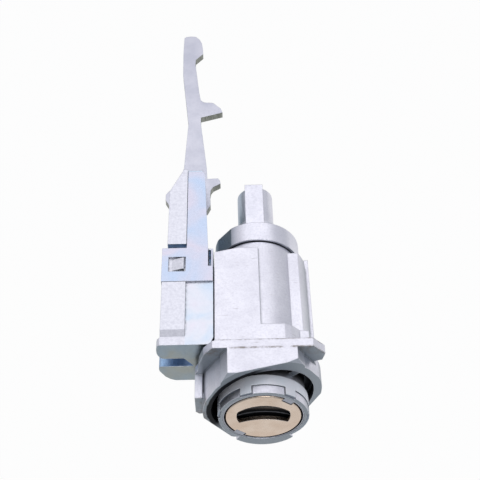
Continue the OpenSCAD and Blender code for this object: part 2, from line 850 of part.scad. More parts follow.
// Lever outline about its pivot, X to the right and Y towards the tip
module lever_outline() {
    tip = lever_len;
    tooth = tooth_at;
    circle(r = hub_r);
    polygon([
        [5.3, -4.2], [6.2, -2.2], [6.1, 2], [6.3, 3.6], [7, 4.8], [8.2, 5.5], [9, 6.1], [8.9, 7.1],
        [8.3, 8.15], [5.3, 8], [5.1, 12.5], [4.4, 20.1], [3.3, tooth - 2.6], [3.3, tooth],
        [tooth_reach, tooth + 2.1], [tooth_reach - 0.5, tooth + 3.9], [tooth_reach - 2.9, tooth + 6.6],
        [4.2, tooth + 6.9], [3.2, tooth + 7.9], [2.7, tooth + 11.6],
        [1.4, tip - 14.3], [1.5, tip - 12.2], [3.8, tip - 9.3], [3.75, tip - 7.2], [3.4, tip - 3.8],
        [2.6, tip - 1.7], [1.4, tip - 0.2], [0, tip], [-1.7, tip - 0.2], [-2.3, tip - 0.9], [-2.5, tip - 8.2],
        [-2.4, tip - 19.7], [-0.4, tooth - 3], [-1.4, 12.5], [-3.2, 6], [-5.6, 3.2], [-6.3, 2.1],
        [-6.3, 0.1], [-5.7, -1.1], [-4, -4]]);
}

module lever() {
    color(plated) translate([-pivot_x, pivot_y, 0]) difference() {
        plan(lever_z, lever_z + lever_t) lever_outline();
        translate([0, 0, lever_z - 1]) cylinder(r = pivot_r + pivot_fit, h = lever_t + 2);
    }
}

module lever_pivot() {
    color(steel) translate([-pivot_x, pivot_y, lower_z]) cylinder(r = pivot_r, h = pivot_top - lower_z);
}

module lever_spring() {
    color(steel) translate([-pivot_x, pivot_y, recess_z])
        coil(pivot_r + 0.55, 0.25, 3, 0.05, lever_z - recess_z - 0.4, steps = 12, sides = 6);
}

lock_body();
nose_ring();
face_plate();
shutter();
shutter_pin();
shutter_spring();
plug();
for (i = [1 : wafer_count]) {
    wafer(i);
    wafer_spring(i);
}
retainer_wafer();
retainer_spring();
tail_cam();
cam_pin();
guide_block();
guide_pin_front();
guide_pin_rear();
cover_clip();
lever();
lever_pivot();
lever_spring();
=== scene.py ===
"""Ignition lock cylinder: finishes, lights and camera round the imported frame. Blender 4.5, metres."""
import math

import bpy
from mathutils import Matrix, Vector


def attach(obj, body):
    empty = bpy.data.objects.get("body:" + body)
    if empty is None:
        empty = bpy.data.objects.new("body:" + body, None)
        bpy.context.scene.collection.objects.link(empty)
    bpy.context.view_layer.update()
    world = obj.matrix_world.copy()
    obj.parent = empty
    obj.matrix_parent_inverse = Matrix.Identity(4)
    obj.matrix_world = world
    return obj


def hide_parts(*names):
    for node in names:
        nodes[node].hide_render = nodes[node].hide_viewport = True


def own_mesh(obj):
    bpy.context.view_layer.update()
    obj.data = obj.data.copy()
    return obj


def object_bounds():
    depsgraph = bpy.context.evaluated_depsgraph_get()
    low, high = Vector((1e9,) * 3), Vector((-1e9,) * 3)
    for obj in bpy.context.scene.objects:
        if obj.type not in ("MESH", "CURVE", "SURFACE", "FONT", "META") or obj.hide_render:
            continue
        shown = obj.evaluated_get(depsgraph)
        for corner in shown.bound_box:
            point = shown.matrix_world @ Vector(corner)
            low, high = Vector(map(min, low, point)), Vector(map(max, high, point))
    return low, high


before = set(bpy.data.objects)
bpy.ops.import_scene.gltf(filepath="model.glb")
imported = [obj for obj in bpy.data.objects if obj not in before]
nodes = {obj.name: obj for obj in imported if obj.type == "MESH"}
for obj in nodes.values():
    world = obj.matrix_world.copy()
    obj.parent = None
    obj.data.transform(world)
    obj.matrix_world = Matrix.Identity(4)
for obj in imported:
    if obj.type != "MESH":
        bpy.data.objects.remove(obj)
cad_low, cad_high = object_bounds()

MM = 0.001

# Camera: 75 mm lens on a 36 mm sensor, placed from the photograph's vanishing lines
CAMERA_PLACE = Vector((-5.256, -138.047, 205.312)) * MM
CAMERA_RIGHT = Vector((0.99973, -0.01922, -0.01325))
CAMERA_UP = Vector((0.02317, 0.74873, 0.66247))
CAMERA_AHEAD = Vector((0.00281, 0.66259, -0.74897))
LENS_MM = 75

FLOOR_DROP = 90 * MM
FLOOR_REACH = 3.0
TENT_TOP = (0.0, 0.66, 0.75)
WELD_GAP = 0.001 * MM


def linear(code):
    """An sRGB hex colour as linear RGBA."""
    parts = [int(code[i:i + 2], 16) / 255 for i in (1, 3, 5)]
    return (*[c / 12.92 if c <= 0.04045 else ((c + 0.055) / 1.055) ** 2.4 for c in parts], 1)


def add(tree, kind, settings=None, links=None):
    """Adds one node with its settings and its links, by socket name or number, and returns it."""
    node = tree.nodes.new("ShaderNode" + kind)
    for key, value in (settings or {}).items():
        if isinstance(key, int) or key in node.inputs:
            node.inputs[key].default_value = value
        else:
            setattr(node, key, value)
    for key, source in (links or {}).items():
        tree.links.new(source, node.inputs[key])
    return node


def new_material(name):
    """An empty node material with its output, as (material, tree, output)."""
    material = bpy.data.materials.new(name)
    material.use_nodes = True
    tree = material.node_tree
    tree.nodes.clear()
    return material, tree, add(tree, "OutputMaterial")


def position_and_normal(tree):
    """Object position in millimetres and object normal, each split into X, Y and Z."""
    here = add(tree, "TexCoord").outputs
    scaled = add(tree, "VectorMath", {"operation": "SCALE"}, {"Vector": here["Object"]})
    scaled.inputs["Scale"].default_value = 1 / MM
    place = add(tree, "SeparateXYZ", {}, {"Vector": scaled.outputs["Vector"]}).outputs
    facing = add(tree, "SeparateXYZ", {}, {"Vector": here["Normal"]}).outputs
    return scaled.outputs["Vector"], place, facing


def close_metal(tree, output, colour, rough, bumps, round_mm, corner="#5f666c", shade_reach_mm=0.7, corner_shade_share=0.75,
                edge_highlight="#f4f4f8", edge_highlight_share=0.6, metallic=1.0, corner_shade_scale=None, painted_black_mask=None):
    """Ends a metal: a painted highlight on its edges, apart from where it is painted black, painted shade in its
    corners, scaled down where a scale is given, bump maps one over another, and a rounded edge."""
    # Painted shade: ambient occlusion darkens corners and creases towards the corner colour
    reach = add(tree, "AmbientOcclusion", {"samples": 12, "Distance": shade_reach_mm * MM}).outputs["AO"]
    painted_deep_shade = add(tree, "MapRange", {"From Min": 0.35, "From Max": 0.95, "To Min": corner_shade_share, "To Max": 0.0},
               {"Value": reach}).outputs["Result"]
    if corner_shade_scale:
        painted_deep_shade = add(tree, "Math", {"operation": "MULTIPLY"}, {0: painted_deep_shade, 1: corner_shade_scale}).outputs["Value"]
    normal = add(tree, "Bevel", {"Radius": round_mm * MM, "samples": 6}).outputs["Normal"]
    # Painted highlight: where the rounded edge's normal turns from the flat face, the edge is lightened towards the
    # highlight colour
    flat = add(tree, "NewGeometry").outputs["True Normal"]
    turned = add(tree, "VectorMath", {"operation": "DOT_PRODUCT"}, {0: flat, 1: normal}).outputs["Value"]
    edge = add(tree, "MapRange", {"From Min": 0.98, "From Max": 0.8, "To Max": edge_highlight_share}, {"Value": turned}).outputs["Result"]
    # No painted highlight where the surface is painted black
    if painted_black_mask:
        bare = add(tree, "Math", {"operation": "SUBTRACT", 0: 1.0}, {1: painted_black_mask}).outputs["Value"]
        edge = add(tree, "Math", {"operation": "MULTIPLY"}, {0: edge, 1: bare}).outputs["Value"]
    colour = add(tree, "Mix", {"data_type": "RGBA", "B": linear(edge_highlight)}, {"Factor": edge, "A": colour}).outputs["Result"]
    colour = add(tree, "Mix", {"data_type": "RGBA", "B": linear(corner)}, {"Factor": painted_deep_shade, "A": colour}).outputs["Result"]
    for height, strength, depth_mm in bumps:
        normal = add(tree, "Bump", {"Strength": strength, "Distance": depth_mm * MM},
                     {"Height": height, "Normal": normal}).outputs["Normal"]
    skin = add(tree, "BsdfPrincipled", {"Metallic": metallic},
               {"Base Color": colour, "Roughness": rough, "Normal": normal})
    tree.links.new(skin.outputs["BSDF"], output.inputs["Surface"])


def die_cast_zinc():
    """Zamak as it leaves the die. It gives satin silver with a faint lavender cast and slow cloudy drift, a little
    duller and painted darker and cooler as shade on the walls, with flow marks, small drag scratches, dark broken flash
    along the flange's parting edges and on the sawn end of the side rib, and painted black shade far down the collar's
    bore and over its upper left lip. The skin grain of about 0.1 mm is too fine to show, so it is drawn 0.45 mm wide."""
    material, tree, output = new_material("die_cast_zinc")
    place, spot, facing = position_and_normal(tree)
    cloud = add(tree, "TexNoise", {"Scale": 1 / 7, "Detail": 3}, {"Vector": place}).outputs["Fac"]
    grain = add(tree, "TexNoise", {"Scale": 1 / 0.45, "Detail": 4, "Roughness": 0.65}, {"Vector": place}).outputs["Fac"]
    flow = add(tree, "TexNoise", {"Scale": 1 / 2.5, "Detail": 2, "Distortion": 1.5}, {"Vector": place}).outputs["Fac"]
    drift = add(tree, "MapRange", {"From Min": 0.35, "From Max": 0.65}, {"Value": cloud}).outputs["Result"]
    colour = add(tree, "Mix", {"data_type": "RGBA", "A": linear("#ebeaf2"), "B": linear("#dfdee7")},
                 {"Factor": drift}).outputs["Result"]
    pits = add(tree, "MapRange", {"From Min": 0.42, "From Max": 0.68, "To Max": 0.32}, {"Value": grain}).outputs["Result"]
    colour = add(tree, "Mix", {"data_type": "RGBA", "B": linear("#c9c8d2")}, {"Factor": pits, "A": colour}).outputs["Result"]
    # Walls, anything that leans more than about 60 degrees from level, are painted darker and cooler as shade
    lean = add(tree, "Math", {"operation": "ABSOLUTE"}, {0: facing["Z"]}).outputs["Value"]
    shaded_wall = add(tree, "MapRange", {"From Min": 0.55, "From Max": 0.1}, {"Value": lean}).outputs["Result"]
    colour = add(tree, "Mix", {"data_type": "RGBA", "B": linear("#a3a9af")}, {"Factor": shaded_wall, "A": colour}).outputs["Result"]
    # Drag scratches: thin dark dashes across the barrel, where a stretched noise peaks
    across = add(tree, "Mapping", {"Scale": (0.35, 3.2, 0.35)}, {"Vector": place}).outputs["Vector"]
    dash = add(tree, "TexNoise", {"Scale": 0.8, "Detail": 1}, {"Vector": across}).outputs["Fac"]
    dash = add(tree, "MapRange", {"From Min": 0.70, "From Max": 0.78, "To Max": 0.6}, {"Value": dash}).outputs["Result"]
    colour = add(tree, "Mix", {"data_type": "RGBA", "B": linear("#b7b3b8")}, {"Factor": dash, "A": colour}).outputs["Result"]
    # Broken flash: within 0.45 mm of the flange's two edges, high on the flange, where a noise is high
    nearest = None
    for edge_y in (0.0, -2.4):
        away = add(tree, "Math", {"operation": "ADD", 1: -edge_y}, {"Value": spot["Y"]}).outputs["Value"]
        away = add(tree, "Math", {"operation": "ABSOLUTE"}, {"Value": away}).outputs["Value"]
        nearest = away if nearest is None else add(tree, "Math", {"operation": "MINIMUM"}, {0: nearest, 1: away}).outputs["Value"]
    near_edge = add(tree, "MapRange", {"From Min": 0.38, "From Max": 0.12}, {"Value": nearest}).outputs["Result"]
    high = add(tree, "MapRange", {"From Min": 10.8, "From Max": 11.4}, {"Value": spot["Z"]}).outputs["Result"]
    ragged_raw = add(tree, "TexNoise", {"Scale": 1 / 2.6, "Detail": 5, "Roughness": 0.75}, {"Vector": place}).outputs["Fac"]
    ragged = add(tree, "MapRange", {"From Min": 0.44, "From Max": 0.62}, {"Value": ragged_raw}).outputs["Result"]
    flash = add(tree, "Math", {"operation": "MULTIPLY"}, {0: near_edge, 1: high}).outputs["Value"]
    flash = add(tree, "Math", {"operation": "MULTIPLY"}, {0: flash, 1: ragged}).outputs["Value"]
    # The sawn end of the side rib: left of 13 mm and ahead of 8.4 mm
    rib_side = add(tree, "MapRange", {"From Min": -13.2, "From Max": -13.6}, {"Value": spot["X"]}).outputs["Result"]
    rib_end = add(tree, "MapRange", {"From Min": -8.8, "From Max": -9.05}, {"Value": spot["Y"]}).outputs["Result"]
    sawn = add(tree, "Math", {"operation": "MULTIPLY"}, {0: rib_side, 1: rib_end}).outputs["Value"]
    sawn = add(tree, "Math", {"operation": "MULTIPLY"}, {0: sawn, 1: ragged}).outputs["Value"]
    dirty = add(tree, "Math", {"operation": "MAXIMUM"}, {0: flash, 1: sawn}).outputs["Value"]
    colour = add(tree, "Mix", {"data_type": "RGBA", "B": linear("#938c88")}, {"Factor": dirty, "A": colour}).outputs["Result"]
    # Painted black shade far down the collar's bore: within 12.45 mm of the axis, 0.5 mm and more behind the slanted
    # front
    slope = add(tree, "Math", {"operation": "MULTIPLY", 1: math.tan(math.radians(12.2))}, {0: spot["X"]}).outputs["Value"]
    behind = add(tree, "Math", {"operation": "SUBTRACT"}, {0: spot["Y"], 1: slope}).outputs["Value"]
    inside = add(tree, "MapRange", {"From Min": -8.1, "From Max": -6.3}, {"Value": behind}).outputs["Result"]
    ahead = add(tree, "MapRange", {"From Min": -1.2, "From Max": -1.5}, {"Value": spot["Y"]}).outputs["Result"]
    level_place = add(tree, "CombineXYZ", {}, {"X": spot["X"], "Y": spot["Z"]}).outputs["Vector"]
    radius = add(tree, "VectorMath", {"operation": "LENGTH"}, {0: level_place}).outputs["Value"]
    bore = add(tree, "MapRange", {"From Min": 12.55, "From Max": 12.45}, {"Value": radius}).outputs["Result"]
    painted_bore_shade = add(tree, "Math", {"operation": "MULTIPLY"}, {0: inside, 1: bore}).outputs["Value"]
    painted_bore_shade = add(tree, "Math", {"operation": "MULTIPLY"}, {0: painted_bore_shade, 1: ahead}).outputs["Value"]
    # The painted black shade reaches over the bore's upper left lip, as far as 13.6 mm from the axis, with a ragged
    # edge
    outward = add(tree, "VectorMath", {"operation": "NORMALIZE"}, {0: level_place}).outputs["Vector"]
    upper_left = add(tree, "VectorMath", {"operation": "DOT_PRODUCT", 1: (-0.88, 0.47, 0.0)}, {0: outward}).outputs["Value"]
    upper_left = add(tree, "MapRange", {"From Min": 0.3, "From Max": 0.6}, {"Value": upper_left}).outputs["Result"]
    wander = add(tree, "Math", {"operation": "MULTIPLY_ADD", 1: 0.8, 2: -0.4}, {0: ragged_raw}).outputs["Value"]
    lip_shade_radius = add(tree, "Math", {"operation": "ADD"}, {0: radius, 1: wander}).outputs["Value"]
    lip = add(tree, "MapRange", {"From Min": 13.7, "From Max": 13.4}, {"Value": lip_shade_radius}).outputs["Result"]
    front_end = add(tree, "MapRange", {"From Min": -6.0, "From Max": -6.5}, {"Value": spot["Y"]}).outputs["Result"]
    painted_lip_shade = add(tree, "Math", {"operation": "MULTIPLY"}, {0: lip, 1: upper_left}).outputs["Value"]
    painted_lip_shade = add(tree, "Math", {"operation": "MULTIPLY"}, {0: painted_lip_shade, 1: front_end}).outputs["Value"]
    # The ring's neck and its lugs, within 12.2 mm of the axis, get none of the painted black shade on the lip
    off_neck = add(tree, "MapRange", {"From Min": 12.2, "From Max": 12.3}, {"Value": radius}).outputs["Result"]
    painted_lip_shade = add(tree, "Math", {"operation": "MULTIPLY"}, {0: painted_lip_shade, 1: off_neck}).outputs["Value"]
    painted_bore_shade = add(tree, "Math", {"operation": "MAXIMUM"}, {0: painted_bore_shade, 1: painted_lip_shade}).outputs["Value"]
    colour = add(tree, "Mix", {"data_type": "RGBA", "B": linear("#1b1d21")}, {"Factor": painted_bore_shade, "A": colour}).outputs["Result"]
    gloss = add(tree, "MapRange", {"From Min": 0.3, "From Max": 0.7, "To Min": 0.31, "To Max": 0.48},
                {"Value": grain}).outputs["Result"]
    dull = add(tree, "Math", {"operation": "MULTIPLY", 1: 0.14}, {0: shaded_wall}).outputs["Value"]
    gloss = add(tree, "Math", {"operation": "ADD"}, {0: gloss, 1: dull}).outputs["Value"]
    # The snap lugs, 8 mm and more ahead of the seat, get little painted corner shade
    corner_shade_scale = add(tree, "MapRange", {"From Min": -8.0, "From Max": -7.0, "To Min": 0.15}, {"Value": spot["Y"]}).outputs["Result"]
    close_metal(tree, output, colour, gloss,
                [(flow, 0.3, 0.06), (grain, 0.45, 0.04), (dirty, 0.5, 0.12)], 0.28, corner_shade_scale=corner_shade_scale, painted_black_mask=painted_bore_shade)
    return material


def turned_zinc():
    """Zamak skimmed in a lathe. It gives a smoother, brighter silver with fine turning rings, painted darker and bluer
    on its left side as shade. The rings are really 0.08 mm apart and are drawn 0.3 mm apart
    so that they show."""
    material, tree, output = new_material("turned_zinc")
    place, spot, facing = position_and_normal(tree)
    cloud = add(tree, "TexNoise", {"Scale": 1 / 6, "Detail": 3}, {"Vector": place}).outputs["Fac"]
    grain = add(tree, "TexNoise", {"Scale": 1 / 0.5, "Detail": 3, "Roughness": 0.6}, {"Vector": place}).outputs["Fac"]
    ringwise = add(tree, "Mapping", {"Scale": (0.02, 1, 0.02)}, {"Vector": place}).outputs["Vector"]
    rings = add(tree, "TexNoise", {"Scale": 1 / 0.3, "Detail": 2}, {"Vector": ringwise}).outputs["Fac"]
    drift = add(tree, "MapRange", {"From Min": 0.35, "From Max": 0.65}, {"Value": cloud}).outputs["Result"]
    colour = add(tree, "Mix", {"data_type": "RGBA", "A": linear("#e6e5ee"), "B": linear("#dadae4")},
                 {"Factor": drift}).outputs["Result"]
    pits = add(tree, "MapRange", {"From Min": 0.45, "From Max": 0.7, "To Max": 0.35}, {"Value": grain}).outputs["Result"]
    colour = add(tree, "Mix", {"data_type": "RGBA", "B": linear("#c6c6d0")}, {"Factor": pits, "A": colour}).outputs["Result"]
    # Painted shade: faces that turn to the left are painted darker and bluer
    left = add(tree, "MapRange", {"From Min": -0.45, "From Max": -0.8}, {"Value": facing["X"]}).outputs["Result"]
    colour = add(tree, "Mix", {"data_type": "RGBA", "B": linear("#adb8c6")}, {"Factor": left, "A": colour}).outputs["Result"]
    gloss = add(tree, "MapRange", {"From Min": 0.3, "From Max": 0.7, "To Min": 0.26, "To Max": 0.4},
                {"Value": grain}).outputs["Result"]
    close_metal(tree, output, colour, gloss, [(rings, 0.12, 0.02), (grain, 0.3, 0.03)], 0.28)
    return material


def staked_zinc():
    """Zamak plug, pressed over at its rim by the staking punch. It gives dull grey on the rim and the two tabs, and
    painted black shade in the groove round the face and everywhere behind it. The punch's dents are drawn 0.6 mm wide."""
    material, tree, output = new_material("staked_zinc")
    place, spot, _ = position_and_normal(tree)
    dents = add(tree, "TexNoise", {"Scale": 1 / 0.6, "Detail": 3, "Roughness": 0.6}, {"Vector": place}).outputs["Fac"]
    tone = add(tree, "MapRange", {"From Min": 0.35, "From Max": 0.65}, {"Value": dents}).outputs["Result"]
    colour = add(tree, "Mix", {"data_type": "RGBA", "A": linear("#a7a9b2"), "B": linear("#b9bbc4")},
                 {"Factor": tone}).outputs["Result"]
    # The rim's front stands 12.6 mm ahead of the seat
    # Painted shade: everything from just behind the rim's front is painted near black
    painted_deep_shade = add(tree, "MapRange", {"From Min": -12.5, "From Max": -12.3}, {"Value": spot["Y"]}).outputs["Result"]
    colour = add(tree, "Mix", {"data_type": "RGBA", "B": linear("#111214")}, {"Factor": painted_deep_shade, "A": colour}).outputs["Result"]
    gloss = add(tree, "MapRange", {"From Min": 0.3, "From Max": 0.7, "To Min": 0.36, "To Max": 0.5},
                {"Value": dents}).outputs["Result"]
    close_metal(tree, output, colour, gloss, [(dents, 0.5, 0.05)], 0.12, "#141517", 0.5, 0.95)
    return material


def polished_stainless():
    """Polished stainless face. It gives a warm straw tint that drifts a little, fine level brush lines and soft
    haze. The lines are really about 0.03 mm apart and are drawn 0.15 mm apart so that they show."""
    material, tree, output = new_material("polished_stainless")
    place, _, _ = position_and_normal(tree)
    level = add(tree, "Mapping", {"Scale": (0.1, 1, 1)}, {"Vector": place}).outputs["Vector"]
    brush = add(tree, "TexNoise", {"Scale": 1 / 0.15, "Detail": 2}, {"Vector": level}).outputs["Fac"]
    cloud = add(tree, "TexNoise", {"Scale": 1 / 4, "Detail": 2}, {"Vector": place}).outputs["Fac"]
    drift = add(tree, "MapRange", {"From Min": 0.35, "From Max": 0.65}, {"Value": cloud}).outputs["Result"]
    colour = add(tree, "Mix", {"data_type": "RGBA", "A": linear("#e6d2c0"), "B": linear("#dcc5b1")},
                 {"Factor": drift}).outputs["Result"]
    gloss = add(tree, "MapRange", {"From Min": 0.3, "From Max": 0.7, "To Min": 0.24, "To Max": 0.34},
                {"Value": brush}).outputs["Result"]
    close_metal(tree, output, colour, gloss, [(brush, 0.1, 0.01)], 0.15, "#4a3d35", 0.3, 0.6)
    return material


def blackened_steel():
    """Blackened spring-steel flap. It gives near black with a soft uneven sheen, and a thin
    grey arc where the key's tip rubs it."""
    material, tree, output = new_material("blackened_steel")
    place, spot, _ = position_and_normal(tree)
    cloud = add(tree, "TexNoise", {"Scale": 1 / 1.5, "Detail": 3}, {"Vector": place}).outputs["Fac"]
    gloss = add(tree, "MapRange", {"From Min": 0.3, "From Max": 0.7, "To Min": 0.25, "To Max": 0.42},
                {"Value": cloud}).outputs["Result"]
    # The key's tip has rubbed a line, an arc of 13.6 mm radius about a point 14.35 mm under the axis
    down = add(tree, "Math", {"operation": "ADD", 1: 14.35}, {0: spot["Z"]}).outputs["Value"]
    level_place = add(tree, "CombineXYZ", {}, {"X": spot["X"], "Y": down}).outputs["Vector"]
    radius = add(tree, "VectorMath", {"operation": "LENGTH"}, {0: level_place}).outputs["Value"]
    away = add(tree, "Math", {"operation": "SUBTRACT", 1: 13.65}, {0: radius}).outputs["Value"]
    away = add(tree, "Math", {"operation": "ABSOLUTE"}, {0: away}).outputs["Value"]
    line = add(tree, "MapRange", {"From Min": 0.22, "From Max": 0.08, "To Max": 0.85}, {"Value": away}).outputs["Result"]
    worn = add(tree, "MapRange", {"From Min": 0.3, "From Max": 0.5, "To Min": 0.5}, {"Value": cloud}).outputs["Result"]
    bare = add(tree, "Math", {"operation": "MULTIPLY"}, {0: line, 1: worn}).outputs["Value"]
    colour = add(tree, "Mix", {"data_type": "RGBA", "A": linear("#131417"), "B": linear("#8f9196")},
                 {"Factor": bare}).outputs["Result"]
    skin = add(tree, "BsdfPrincipled", {"Metallic": 0.0}, {"Base Color": colour, "Roughness": gloss})
    tree.links.new(skin.outputs["BSDF"], output.inputs["Surface"])
    return material


def blue_zinc_plating():
    """Blue-passivated zinc plating on the pressed cap ring. It gives grey-blue metal with a painted white highlight on
    its edges, faint violet patches, painted grey shade on the lip that faces forward and painted dark blue-grey shade
    in its corners."""
    material, tree, output = new_material("blue_zinc_plating")
    place, _, facing = position_and_normal(tree)
    cloud = add(tree, "TexNoise", {"Scale": 1 / 5, "Detail": 2, "Distortion": 0.6}, {"Vector": place}).outputs["Fac"]
    fine = add(tree, "TexNoise", {"Scale": 1 / 0.5, "Detail": 3}, {"Vector": place}).outputs["Fac"]
    drift = add(tree, "MapRange", {"From Min": 0.35, "From Max": 0.65}, {"Value": cloud}).outputs["Result"]
    colour = add(tree, "Mix", {"data_type": "RGBA", "A": linear("#eef2fa"), "B": linear("#f3f3fa")},
                 {"Factor": drift}).outputs["Result"]
    # Painted shade: the front lip is painted greyer than the round wall
    front = add(tree, "MapRange", {"From Min": -0.4, "From Max": -0.8}, {"Value": facing["Y"]}).outputs["Result"]
    colour = add(tree, "Mix", {"data_type": "RGBA", "B": linear("#99a2ae")}, {"Factor": front, "A": colour}).outputs["Result"]
    gloss = add(tree, "MapRange", {"From Min": 0.3, "From Max": 0.7, "To Min": 0.36, "To Max": 0.46},
                {"Value": fine}).outputs["Result"]
    close_metal(tree, output, colour, gloss, [(fine, 0.1, 0.01)], 0.25, "#2f3743", 0.4, 0.75, "#ffffff", 0.9, 0.3)
    return material


def plated_casting():
    """Clear-passivated zinc plating over a casting. It gives bright silver that drifts to pale blue on the smooth
    deck, with grainy raised slabs where the die skin shows through, walls painted grey-green as shade, and painted blue
    shade in the slot and on the rear slab's front face. The grain of the slabs is drawn 0.8 mm wide so that it shows."""
    material, tree, output = new_material("plated_casting")
    place, spot, facing = position_and_normal(tree)
    cloud = add(tree, "TexNoise", {"Scale": 1 / 8, "Detail": 2, "Distortion": 0.6}, {"Vector": place}).outputs["Fac"]
    fine = add(tree, "TexNoise", {"Scale": 1 / 0.5, "Detail": 3}, {"Vector": place}).outputs["Fac"]
    coarse = add(tree, "TexNoise", {"Scale": 1 / 0.8, "Detail": 4, "Roughness": 0.65}, {"Vector": place}).outputs["Fac"]
    rainbow = add(tree, "ValToRGB", {}, {"Fac": cloud})
    stops = rainbow.color_ramp.elements
    stops[0].position, stops[0].color = 0.35, linear("#ccdaea")
    stops[1].position, stops[1].color = 0.68, linear("#e2dee8")
    stops.new(0.52).color = linear("#dcdfe8")
    # The raised slabs lie left of 18.3 mm
    slab = add(tree, "MapRange", {"From Min": -18.2, "From Max": -18.5}, {"Value": spot["X"]}).outputs["Result"]
    skin_tone = add(tree, "MapRange", {"From Min": 0.35, "From Max": 0.65}, {"Value": coarse}).outputs["Result"]
    slab_colour = add(tree, "Mix", {"data_type": "RGBA", "A": linear("#d3d3dc"), "B": linear("#e3e3eb")},
                      {"Factor": skin_tone}).outputs["Result"]
    colour = add(tree, "Mix", {"data_type": "RGBA"},
                 {"Factor": slab, "A": rainbow.outputs["Color"], "B": slab_colour}).outputs["Result"]
    # Painted shade: walls are painted grey-green, blotched by a noise
    lean = add(tree, "Math", {"operation": "ABSOLUTE"}, {0: facing["Z"]}).outputs["Value"]
    shaded_wall = add(tree, "MapRange", {"From Min": 0.6, "From Max": 0.1}, {"Value": lean}).outputs["Result"]
    stain = add(tree, "MapRange", {"From Min": 0.4, "From Max": 0.62}, {"Value": cloud}).outputs["Result"]
    shaded_wall_colour = add(tree, "Mix", {"data_type": "RGBA", "A": linear("#9aa7b0"), "B": linear("#a2a6a2")},
                      {"Factor": stain}).outputs["Result"]
    colour = add(tree, "Mix", {"data_type": "RGBA"}, {"Factor": shaded_wall, "A": colour, "B": shaded_wall_colour}).outputs["Result"]
    # Painted blue shade on the lower plate's top, inside the slot, which lies 1.7 mm above the axis
    slot = add(tree, "MapRange", {"From Min": 4.0, "From Max": 2.5}, {"Value": spot["Z"]}).outputs["Result"]
    upward = add(tree, "MapRange", {"From Min": 0.5, "From Max": 0.9}, {0: facing["Z"]}).outputs["Result"]
    slot = add(tree, "Math", {"operation": "MULTIPLY"}, {0: slot, 1: upward}).outputs["Value"]
    # And on the front wall of the rear slab, behind the clip's band
    rear = add(tree, "MapRange", {"From Min": 28.0, "From Max": 30.0}, {"Value": spot["Y"]}).outputs["Result"]
    forward = add(tree, "MapRange", {"From Min": -0.5, "From Max": -0.9}, {"Value": facing["Y"]}).outputs["Result"]
    behind_band = add(tree, "Math", {"operation": "MULTIPLY"}, {0: rear, 1: forward}).outputs["Value"]
    blue = add(tree, "Math", {"operation": "MAXIMUM"}, {0: slot, 1: behind_band}).outputs["Value"]
    colour = add(tree, "Mix", {"data_type": "RGBA", "B": linear("#9dbbdc")}, {"Factor": blue, "A": colour}).outputs["Result"]
    gloss = add(tree, "MapRange", {"From Min": 0.3, "From Max": 0.7, "To Min": 0.3, "To Max": 0.44},
                {"Value": fine}).outputs["Result"]
    skin_depth = add(tree, "Math", {"operation": "MULTIPLY"}, {0: coarse, 1: slab}).outputs["Value"]
    # The painted shade in its corners is broken into short dashes
    dashes = add(tree, "TexNoise", {"Scale": 1 / 1.2, "Detail": 2, "Roughness": 0.6}, {"Vector": place}).outputs["Fac"]
    broken = add(tree, "MapRange", {"From Min": 0.42, "From Max": 0.56, "To Min": 0.35}, {"Value": dashes}).outputs["Result"]
    close_metal(tree, output, colour, gloss, [(fine, 0.25, 0.03), (skin_depth, 0.6, 0.07)], 0.22, "#58616d",
                corner_shade_share=0.85, corner_shade_scale=broken)
    return material


def plated_sheet():
    """Clear-passivated zinc plating on pressed sheet. It gives smooth lavender-blue metal that drifts to violet
    and to pale blue, with fine grain and cut edges painted darker grey as shade."""
    material, tree, output = new_material("plated_sheet")
    place, _, facing = position_and_normal(tree)
    cloud = add(tree, "TexNoise", {"Scale": 1 / 12, "Detail": 2, "Distortion": 0.8}, {"Vector": place}).outputs["Fac"]
    fine = add(tree, "TexNoise", {"Scale": 1 / 0.5, "Detail": 3}, {"Vector": place}).outputs["Fac"]
    rainbow = add(tree, "ValToRGB", {}, {"Fac": cloud})
    stops = rainbow.color_ramp.elements
    stops[0].position, stops[0].color = 0.35, linear("#bccbe2")
    stops[1].position, stops[1].color = 0.68, linear("#d3cdda")
    stops.new(0.52).color = linear("#c8ccdd")
    # Painted shade: the cut edges, standing as walls, are painted darker grey
    lean = add(tree, "Math", {"operation": "ABSOLUTE"}, {0: facing["Z"]}).outputs["Value"]
    shaded_wall = add(tree, "MapRange", {"From Min": 0.6, "From Max": 0.1}, {"Value": lean}).outputs["Result"]
    colour = add(tree, "Mix", {"data_type": "RGBA", "B": linear("#a6a8b0")},
                 {"Factor": shaded_wall, "A": rainbow.outputs["Color"]}).outputs["Result"]
    gloss = add(tree, "MapRange", {"From Min": 0.3, "From Max": 0.7, "To Min": 0.24, "To Max": 0.36},
                {"Value": fine}).outputs["Result"]
    close_metal(tree, output, colour, gloss, [(fine, 0.2, 0.025)], 0.15, "#8b8a90", 0.5, 0.5, edge_highlight_share=0.3)
    return material


